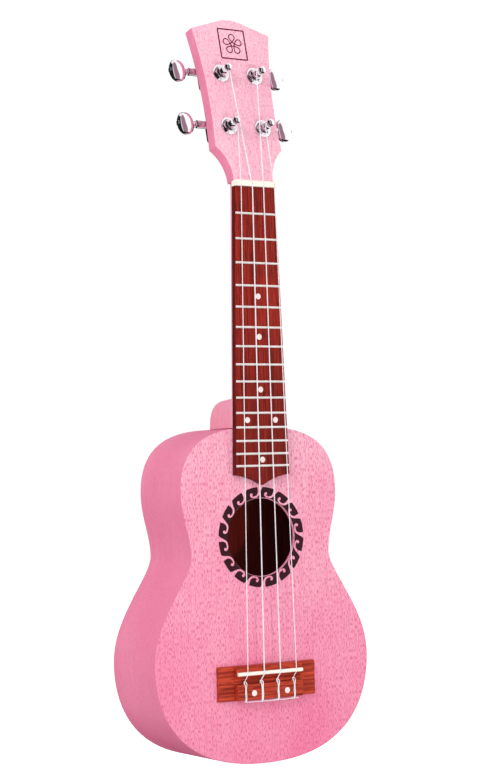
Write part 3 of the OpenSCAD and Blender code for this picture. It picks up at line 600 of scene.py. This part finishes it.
def neck_section(half, depth, top, heel, steps=44):
    """One section of the neck, from its treble edge round the back: an arc that turns into the heel's box."""
    wall = max(0.5, top + 0.3)
    depth = max(depth, wall + 0.2)
    r = (half * half + (depth - wall) ** 2) / (2 * (depth - wall))
    low = math.asin(max(-1.0, min(1.0, (wall - depth + r) / r)))
    corner, back_half = HEEL_CORNER, half - HEEL_DRAW
    side_end, corner_end = 0.4, 0.7
    ring = [(half, top)]
    for i in range(steps + 1):
        a = low + (math.pi - 2 * low) * i / steps
        x, y = r * math.cos(a), depth - r + r * math.sin(a)
        if heel > 0:
            t = 2 * i / steps if i <= steps / 2 else 2 - 2 * i / steps
            if t < side_end:
                hx, hy = half - HEEL_DRAW * t / side_end, wall + (depth - corner - wall) * t / side_end
            elif t < corner_end:
                c = math.radians(90 * (t - side_end) / (corner_end - side_end))
                hx, hy = back_half - corner + corner * math.cos(c), depth - corner + corner * math.sin(c)
            else:
                hx, hy = (back_half - corner) * (1 - t) / (1 - corner_end), depth
            x += (math.copysign(hx, x) - x) * heel
            y += (hy - y) * heel
        ring.append((x, y))
    return ring + [(-half, top)]


def neck_piece():
    """The neck's shaft and heel; above the nut its top runs under the tilted headstock."""
    points = []
    rows = neck_rows()
    for s, depth, heel in rows:
        z = -s
        top = 0.0 if z <= NUT_T - 0.05 else (z - NUT_T) * math.tan(HEAD_TILT) + 1.0
        ring = neck_section(board_half(s) - 0.02, depth, top, heel)
        points += [point(x, y, s) for x, y in ring]
    last = len(rows) - 1
    faces = skin(len(ring), last) + caps(len(ring), last)
    return put(build("neck_wood", points, faces, "neck", sharp=40), ROOT, "pink_side_wood", "neck")


def head_outline():
    """From the nut: a round flare, a long hollow side, and a gable with a round peak."""
    half = NUT_W / 2
    flare_x = half + FLARE_R
    flare = arc((flare_x, FLARE_U), FLARE_R, 180, math.degrees(math.acos((SHOULDER - flare_x) / FLARE_R)), 18)
    top = math.degrees(math.asin((HEAD_SIDE - SIDE_U) / SIDE_R))
    low = math.degrees(math.asin((SIDE_U - flare[-1][1]) / SIDE_R))
    sides = arc((SIDE_X + SIDE_R, SIDE_U), SIDE_R, 180 + low, 180 - top, 30)
    gable = math.radians(GABLE)
    peak = HEAD_SIDE + (CROWN - GABLE_R * math.sin(gable)) * math.tan(gable) - GABLE_R * math.cos(gable)
    return both_sides([(half, 0)] + flare + sides + arc((0, peak), GABLE_R, 90 - GABLE, 90, 10))


neck_piece()
head = plate("head_plate", head_outline(), on_head, 0, HEAD_T, 0.55, 0.55, ["head", "side"], None, (0, 1, 1), 4)
put(head, ROOT, "pink_head_wood", "headstock")

board_outline = both_sides([(board_half(0), 0), (board_half(BOARD_END), BOARD_END)] + [
    (board_half(BOARD_END) * (1 - i / 16), BOARD_END + (BOARD_TIP - BOARD_END) * (i / 16) ** 1.8)
    for i in range(1, 17)])
# The edges and the underside take the darker copy of the wood: painted shade.
board = plate("board", board_outline, point, -BOARD_T, 0, 0.35, 0.01, ["finger", "finger_edge_shade"], None,
              (0, 1, 1), 3)
put(board, ROOT, "redwood", "fingerboard")


def fret_at(n):
    """The distance of a fret from the nut."""
    return SCALE_LENGTH * (1 - 2 ** (-n / 12))


def fret(n):
    """One fret: a half-round crown with ends filed at a slant."""
    s, half = fret_at(n), board_half(fret_at(n)) - 0.35
    points, steps, seat = [], 10, -BOARD_T + 0.3
    stations = ((-half, 0.45), (-half + 0.2, 0.15), (-half + 0.5, 0.0),
                (half - 0.5, 0.0), (half - 0.2, 0.15), (half, 0.45))
    for x, sink in stations:
        for i in range(steps + 1):
            a = math.pi * i / steps
            y = -BOARD_T - (FRET_H - sink) * math.sin(a) ** 0.8
            points.append(point(x, y, s - FRET_W / 2 * math.cos(a)))
        points += [point(x, seat, s + FRET_W / 2), point(x, seat, s - FRET_W / 2)]
    ring, last = steps + 3, len(stations) - 1
    return points, skin(ring, last) + caps(ring, last)


fret_parts = [fret(n) for n in range(1, FRETS + 1)]
put(build("fret_wires", *join(fret_parts), "fret", sharp=50), ROOT, "fret_metal", "frets")


def dot(x, height, s):
    """An inlaid dot, slightly proud of the wood at that height."""
    return lathe([(DOT_R, -0.4), (DOT_R, 0.03), (DOT_R - 0.12, 0.07), (0, 0.09)],
                 lambda a, b, h: point(x + a, -height - h, s + b), 40)


between = {n: (fret_at(n - 1) + fret_at(n)) / 2 for n in (5, 7, 10, 12, 15)}
dots = [dot(0, BOARD_T, between[n]) for n in (5, 7, 10, 15)]
dots += [dot(side * DOUBLE_DOT_X, BOARD_T, between[12]) for side in (-1, 1)]
put(build("board_dots", *join(dots), "dot"), ROOT, "dot_inlay", "position_dots")


# ---------------------------------------------------------------- headstock motif: a plain frame round a flower
def ribbon(path, half, closed=False):
    """A flat line of some half width along a path on the headstock's face."""
    lift, n = 0.03, len(path)
    pts, faces = [], []
    for i, p in enumerate(path):
        a = Vector(path[(i - 1) % n] if closed else path[max(i - 1, 0)])
        b = Vector(path[(i + 1) % n] if closed else path[min(i + 1, n - 1)])
        way = (b - a).normalized()
        side = Vector((-way.y, way.x)) * half
        for q in (Vector(p) + side, Vector(p) - side):
            pts.append(on_head(q.x, -lift, q.y))
    for i in range(n if closed else n - 1):
        j = (i + 1) % n
        faces.append((2 * i, 2 * j, 2 * j + 1, 2 * i + 1))
    return pts, faces


motif = []
turns = [2 * math.pi * i / 24 for i in range(24)]
for k in range(5):
    centre = math.radians(90 + 72 * k)
    petal = [(5.0 + 2.9 * math.cos(t), centre + 0.44 * math.sin(t)) for t in turns]
    motif.append(ribbon([(r * math.cos(a), MOTIF_U + r * math.sin(a)) for r, a in petal], MOTIF_LINE, True))
motif.append(ribbon([(1.5 * math.cos(t), MOTIF_U + 1.5 * math.sin(t)) for t in turns], MOTIF_LINE, True))
corners = [(MOTIF_HALF * x, MOTIF_U + MOTIF_HALF * y * 1.06) for x, y in ((-1, -1), (1, -1), (1, 1), (-1, 1))]
for k in range(4):
    motif.append(ribbon([corners[k], corners[(k + 1) % 4]], 0.56))
put(build("head_motif", *join(motif), "line"), ROOT, "pink_head_wood")


# ---------------------------------------------------------------- bridge
def profile_block(profile, x0, x1, bevel):
    """A block with a constant profile of (depth, distance) pairs, its ends softened."""
    points = []
    for x, shrink in ((x0, bevel), (x0 + bevel, 0.0), (x1 - bevel, 0.0), (x1, bevel)):
        points += [point(x, y, s) for y, s in inset(profile, shrink)]
    return points, skin(len(profile), 3) + caps(len(profile), 3)


def rounded(profile, r, steps=3):
    """The profile with its corners rounded a little."""
    out = []
    n = len(profile)
    for i in range(n):
        p = Vector(profile[i])
        a, b = Vector(profile[i - 1]) - p, Vector(profile[(i + 1) % n]) - p
        reach = min(r, a.length / 2.2, b.length / 2.2)
        p0, p2 = p + a.normalized() * reach, p + b.normalized() * reach
        for k in range(steps + 1):
            t = k / steps
            out.append(tuple((1 - t) ** 2 * p0 + 2 * t * (1 - t) * p + t * t * p2))
    return out


middle = rounded([(0, BRIDGE_FROM), (-5.4, BRIDGE_FROM), (-6.6, 343.0), (-6.6, 349.4), (-4.0, 350.9),
                  (-3.6, 354.5), (-6.9, 354.9), (-TIE_TOP, 355.5), (-TIE_TOP, 364.8), (-6.0, BRIDGE_TO),
                  (0, BRIDGE_TO)], 0.35)
wing = rounded([(0, BRIDGE_FROM), (-2.3, BRIDGE_FROM), (-2.8, 342.4), (-2.8, 365.2), (-2.3, BRIDGE_TO),
                (0, BRIDGE_TO)], 0.3)
wing_from = BRIDGE_MIDDLE - 0.3
bridge = [profile_block(middle, -BRIDGE_MIDDLE, BRIDGE_MIDDLE, 0.3),
          profile_block(wing, -BRIDGE_HALF, -wing_from, 0.3), profile_block(wing, wing_from, BRIDGE_HALF, 0.3)]
put(build("bridge_wood", *join(bridge), "bridge"), ROOT, "redwood", "bridge")
saddle_from, saddle_to = SADDLE_AT - SADDLE_HALF_T, SADDLE_AT + SADDLE_HALF_T
saddle = rounded([(-3.0, saddle_from), (-SADDLE_TOP, saddle_from), (-SADDLE_TOP, saddle_to), (-3.0, saddle_to)],
                 1.1, 6)
put(build("saddle_bar", *profile_block(saddle, -SADDLE_HALF_L, SADDLE_HALF_L, 0.35), "ivory"),
    ROOT, "ivory", "saddle")
tie_dots = [dot(side * TIE_DOT_X, TIE_TOP, TIE_DOT_AT) for side in (-1, 1)]
put(build("tie_dots", *join(tie_dots), "dot"), ROOT, "dot_inlay", "bridge_dots")


# ---------------------------------------------------------------- strings
def wrap_point(name, angle, height, gap):
    """A point of the string's middle line on its way round the post's waist; the angle is in degrees."""
    r = WRAP_R + STRING_WIDTH[name] / 2 + gap
    a = math.radians(angle)
    return on_head(SIDE[name] * (POST_HALF - r * math.cos(a)), -height, POST_U[name] + r * math.sin(a))


def string_piece(i, name):
    """One string: its loop round the post, the run over nut and saddle, and the knot on the tie block."""
    r = STRING_WIDTH[name] / 2
    nut_x = (i - 1.5) * NUT_STEP + NUT_SHIFT
    saddle_x = (i - 1.5) * SADDLE_STEP + SADDLE_SHIFT
    over_nut = point(nut_x, -NUT_TOP - r - 0.03, 0)
    on_saddle = point(saddle_x, -SADDLE_TOP - r - 0.02, SADDLE_AT)
    tie = saddle_x - 1.0
    path = [wrap_point(name, a, WRAP_HEIGHT, 0.1) for a in range(240, -1, -12)]
    leave = path[-1]
    path += [leave.lerp(over_nut, t) for t in (0.3, 0.6, 0.9, 0.97)] + [over_nut]
    path += [over_nut.lerp(on_saddle, t) for t in (0.02, 0.1, 0.3, 0.5, 0.7, 0.9, 0.97)]
    path += [on_saddle + Vector((0, 0, 0.0008)), on_saddle, on_saddle + Vector((0, 0.00012, -0.0007))]
    top = TIE_TOP + r + 0.02
    sway = 0.25 * math.sin(i * 2.1)
    # Across from the tie's middle, height over the soundboard and distance from the nut: down to the tie block,
    # through it, back over it, once round the string, and on to the next string.
    tie_path = [(0.75, 7.9, 349.4), (0.35, 6.5, 351.4), (0.05, 5.2, 353.4), (0, 4.6, 355.2), (0, 4.6, 360),
                (0, 4.6, 365.8), (0.05, 5.0, 366.9), (0.1, 6.2, 367.0), (0.15, top - 0.3, 366.4),
                (0.30, top, 365.2), (0.45 + sway, top, 362), (0.20 + sway, top, 358.6), (0.5, top, 356),
                (0.75, top - 0.1, 354.9), (0.95, 6.9, 353.7), (0.6, 5.9, 352.8), (-0.35, 5.7, 352.6),
                (-0.95, 6.5, 353.2), (-0.9, 7.5, 354.2), (-0.6, top + 0.1, 355.6), (-0.35, top + 0.1, 358),
                (-0.5 + sway, top, 361), (-0.30, top, 364.2), (-0.35, top - 0.2, 366.0), (-0.2, 6.4, 366.9)]
    tail_end, tail_top = (14.2, 5.9) if i < 3 else (4.4, 5.2)
    tie_path += [(0.6, 5.9, 367.15), (2.2, 5.5, 367.25), (tail_end * 0.45, 5.2, 367.3 + 0.3 * math.sin(i)),
                 (tail_end * 0.8, 5.5, 367.3), (tail_end, tail_top, 367.5)]
    bend = smooth_path([path[-1]] + [point(tie + x, -h, s) for x, h, s in tie_path], 5)
    return put(build("string_" + name, *sweep(path[:-1] + bend, r * MM, 10), "nylon", sharp=60),
               ROOT, "string_nylon", name + "_string")


def coil(name):
    """The turns of string that go round with the post."""
    d, steps = STRING_WIDTH[name], 24
    points = [wrap_point(name, -40 - 360 * k / steps, WRAP_HEIGHT + d * (1.06 + 0.88 * k / steps), 0.02)
              for k in range(COILS * steps + 1)]
    return put(build("coil_" + name, *sweep(points, d / 2 * MM, 10), "nylon", sharp=60),
               name + "_post", "string_nylon", name + "_string_winding")


for index, name in enumerate(STRINGS):
    string_piece(index, name)
    coil(name)


# ---------------------------------------------------------------- tuners
def tuner_place(name):
    """Places a tuner's point: outward along the worm shaft, into the headstock and up it, in mm."""
    return lambda a, d, u: on_head(SIDE[name] * (POST_HALF + a), d, POST_U[name] + u)


def button(name):
    """An oval, slightly cushioned knob with a soft rim and a tapered neck."""
    place = tuner_place(name)
    mid = BUTTON_END - BUTTON_W / 2
    points, rings, steps = [], 28, 56

    def cushion(value):
        return math.copysign(abs(value) ** 0.92, value)

    for i in range(1, rings):
        v = math.pi * i / rings
        across = math.sin(v) ** 0.80
        y = BUTTON_T / 2 * cushion(-math.cos(v))
        for k in range(steps):
            t = 2 * math.pi * k / steps
            x = BUTTON_W / 2 * across * cushion(math.cos(t))
            z = BUTTON_H / 2 * across * cushion(math.sin(t))
            points.append(place(mid + x, WORM_DEPTH + y, WORM_U + z))
    faces = skin(steps, rings - 2) + caps(steps, rings - 2)
    neck = lathe([(1.6, 18.9), (2.35, 18.95), (2.5, 19.3), (2.3, 20.2), (2.15, 21.2), (2.3, 22.6)],
                 lambda a, b, h: place(h, WORM_DEPTH + a, WORM_U + b), 36)
    return put(build("button_" + name, *join([(points, faces), neck]), "chrome", sharp=50),
               name + "_button", "tuner_chrome", name + "_tuner_button")


def post(name):
    """The string post: a plain barrel, a hollow waist and a round head."""
    place = tuner_place(name)
    dome = [math.radians(a) for a in range(12, 91, 13)]
    profile = [(0.0, POST_END)]
    profile += [(POST_DOME_R * math.sin(a), POST_END + 2.3 * (1 - math.cos(a))) for a in dome]
    profile += [(2.98, -11.9), (2.82, -11.35), (2.5, -11.0), (2.2, -10.75), (2.16, -9.4), (2.18, -7.6),
                (2.4, -7.2), (2.75, -6.95), (3.0, -6.7), (3.0, 12.4)]
    return put(build("post_" + name, *lathe(profile, lambda a, b, h: place(a, h, b), 56), "chrome", sharp=60),
               name + "_post", "tuner_chrome", name + "_tuner_post")


for name in STRINGS:
    button(name)
    post(name)


# ---------------------------------------------------------------- CAD nodes that stay
KEPT = {"tuner_housings": "chrome", "tuner_covers": "chrome", "tuner_bushings": "chrome",
        "tuner_washers": "chrome", "tuner_mounting_screws": "chrome", "nut": "ivory", "bridge_screws": "brass"}
KEPT.update({name: "strip" for name in ("bridge_plate", "neck_block", "tail_block", "top_braces", "back_braces",
                                        "top_lining", "back_lining", "neck_dowels")})
for name in STRINGS:
    KEPT.update({name + "_tuner_gear": "brass", name + "_tuner_gear_screw": "steel",
                 name + "_tuner_worm_shaft": "steel", name + "_tuner_button_screw": "steel"})
SOFTENED = {"tuner_housings": 0.35, "tuner_covers": 0.2, "tuner_bushings": 0.18, "tuner_washers": 0.15,
            "tuner_mounting_screws": 0.12, "nut": 0.12}
for name, key in KEPT.items():
    obj = frame["nodes"][name]
    obj.data.materials.clear()
    obj.data.materials.append(M[key])
    if name in SOFTENED:
        weld = obj.modifiers.new("weld", "WELD")
        weld.merge_threshold = 1e-6
        soft = obj.modifiers.new("soften", "BEVEL")
        soft.width = SOFTENED[name] * MM
        soft.segments = 2
        soft.limit_method = "ANGLE"
        soft.angle_limit = math.radians(40)
        soft.use_clamp_overlap = True
        soft.harden_normals = False


# ---------------------------------------------------------------- stage, light and camera, in metres
# The camera's place and directions fit the frets, the dots and the outline to the photograph.
CAMERA_SPOT = (-0.75378, -1.20900, -0.20815)
VIEW_AHEAD = Vector((0.52519, 0.84990, 0.04310)).normalized()
VIEW_RIGHT = VIEW_AHEAD.cross(Vector((0.00065, -0.05105, 0.99870))).normalized()
FLOOR_Z, FLOOR_HALF = -1.1, 12


def stage_floor():
    """A pale floor, well below the instrument, that the soft light doesn't bounce from."""
    mat = bpy.data.materials.new("floor_white")
    mat.use_nodes = True
    shader = mat.node_tree.nodes["Principled BSDF"]
    shader.inputs["Base Color"].default_value = (0.96, 0.96, 0.96, 1)
    shader.inputs["Roughness"].default_value = 0.9
    shader.inputs["Emission Color"].default_value = (1, 1, 1, 1)
    shader.inputs["Emission Strength"].default_value = 0.75
    mesh = bpy.data.meshes.new("floor")
    corners = [(FLOOR_HALF * x, FLOOR_HALF * y, 0) for x, y in ((-1, -1), (1, -1), (1, 1), (-1, 1))]
    mesh.from_pydata(corners, [], [(0, 1, 2, 3)])
    mesh.materials.append(mat)
    floor = bpy.data.objects.new("floor", mesh)
    floor.location = (0, 0, FLOOR_Z)
    floor.visible_diffuse = False
    floor.visible_glossy = False
    floor.visible_shadow = False
    bpy.context.scene.collection.objects.link(floor)


def world():
    """A white backdrop. Diffuse light comes evenly from all round, and gloss sees soft boxes in a dark room."""
    scene_world = bpy.data.worlds.new("studio")
    bpy.context.scene.world = scene_world
    scene_world.use_nodes = True
    tree = scene_world.node_tree
    tree.nodes.clear()

    def node(kind, *links, **settings):
        n = tree.nodes.new("ShaderNode" + kind)
        for key, value in settings.items():
            setattr(n, key, value)
        for key, value in links:
            if isinstance(value, bpy.types.NodeSocket):
                tree.links.new(value, n.inputs[key])
            else:
                n.inputs[key].default_value = value
        return n

    def ramp(value, low, high, start, end):
        return node("MapRange", ("Value", value), ("From Min", low), ("From Max", high), ("To Min", start),
                    ("To Max", end), clamp=True, interpolation_type="SMOOTHSTEP").outputs[0]

    def both(operation, a, b):
        return node("Math", (0, a), (1, b), operation=operation).outputs[0]

    way = node("TexCoord").outputs["Generated"]
    ahead, right = [node("VectorMath", (0, way), (1, tuple(v)), operation="DOT_PRODUCT").outputs["Value"]
                    for v in (VIEW_AHEAD, VIEW_RIGHT)]
    height = node("SeparateXYZ", (0, way)).outputs["Z"]

    def box(axis, low, high, soft=0.06):
        rise, fall = ramp(axis, low - soft, low + soft, 0, 1), ramp(axis, high - soft, high + soft, 1, 0)
        return both("MULTIPLY", rise, fall)

    def light(level, *boxes):
        found = boxes[0]
        for more in boxes[1:]:
            found = both("MULTIPLY", found, more)
        return both("MULTIPLY", found, level)

    # The angle round the upright axis is 0 behind the camera and grows to the right, so every soft box is a
    # stretch of angles, in radians, and of heights.
    around = both("ARCTAN2", right, both("MULTIPLY", ahead, -1.0))
    band = box(around, 0.20, 1.02, 0.04)
    glow = 0.015
    for box_light in (
            light(1.15, box(around, 1.02, 3.3), box(height, -0.40, 1.3, 0.1)),
            light(1.00, box(around, 0.02, 0.20, 0.04), box(height, -0.6, 1.3, 0.1)),
            light(0.38, band, box(height, -0.6, 1.3, 0.1)),
            light(0.85, box(around, 2.35, 3.3), box(height, -1.2, -0.35)),
            light(0.60, box(around, -3.3, -2.2), box(height, 0.25, 0.7)),
            light(1.10, box(height, 0.90, 1.3, 0.04))):
        glow = both("MAXIMUM", box_light, glow)
    soft = node("Background", ("Color", (1, 1, 1, 1)), ("Strength", ramp(height, -0.9, 0.9, 0.77, 0.78)))
    tint = node("MixRGB", (0, band), (1, (1, 1, 1, 1)), (2, (0.95, 0.52, 0.68, 1)))
    gloss = node("Background", ("Color", tint.outputs[0]), ("Strength", glow))
    seen = node("Background", ("Color", (1, 1, 1, 1)), ("Strength", 1.05))
    path = node("LightPath")
    mixed = node("MixShader", (0, path.outputs["Is Glossy Ray"]), (1, soft.outputs[0]), (2, gloss.outputs[0]))
    final = node("MixShader", (0, path.outputs["Is Camera Ray"]), (1, mixed.outputs[0]), (2, seen.outputs[0]))
    node("OutputWorld", ("Surface", final.outputs[0]))


def lamp(name, spot, size, power):
    """A square lamp that faces the instrument's middle, and that gloss doesn't show."""
    light = bpy.data.lights.new(name, "AREA")
    light.shape = "SQUARE"
    light.size = size
    light.energy = power
    obj = bpy.data.objects.new(name, light)
    obj.location = spot
    obj.rotation_euler = (Vector((0, 0, -0.2)) - Vector(spot)).to_track_quat("-Z", "Y").to_euler()
    obj.visible_glossy = False
    bpy.context.scene.collection.objects.link(obj)


stage_floor()
world()
lamp("front", (0.13, -2.0, -0.55), 0.12, 8.2)
lamp("left", (-1.9, -1.0, 0.9), 1.0, 19)

camera = bpy.data.cameras.new("camera")
camera.lens = 91.4
camera.sensor_width = 36
camera.clip_end = 50
camera.shift_x = -0.00064
view = bpy.data.objects.new("camera", camera)
view.matrix_world = Matrix.Translation(CAMERA_SPOT) @ Matrix(
    (VIEW_RIGHT, VIEW_RIGHT.cross(VIEW_AHEAD), -VIEW_AHEAD)).transposed().to_4x4()
bpy.context.scene.collection.objects.link(view)
bpy.context.scene.camera = view
bpy.context.scene.view_settings.view_transform = "Standard"
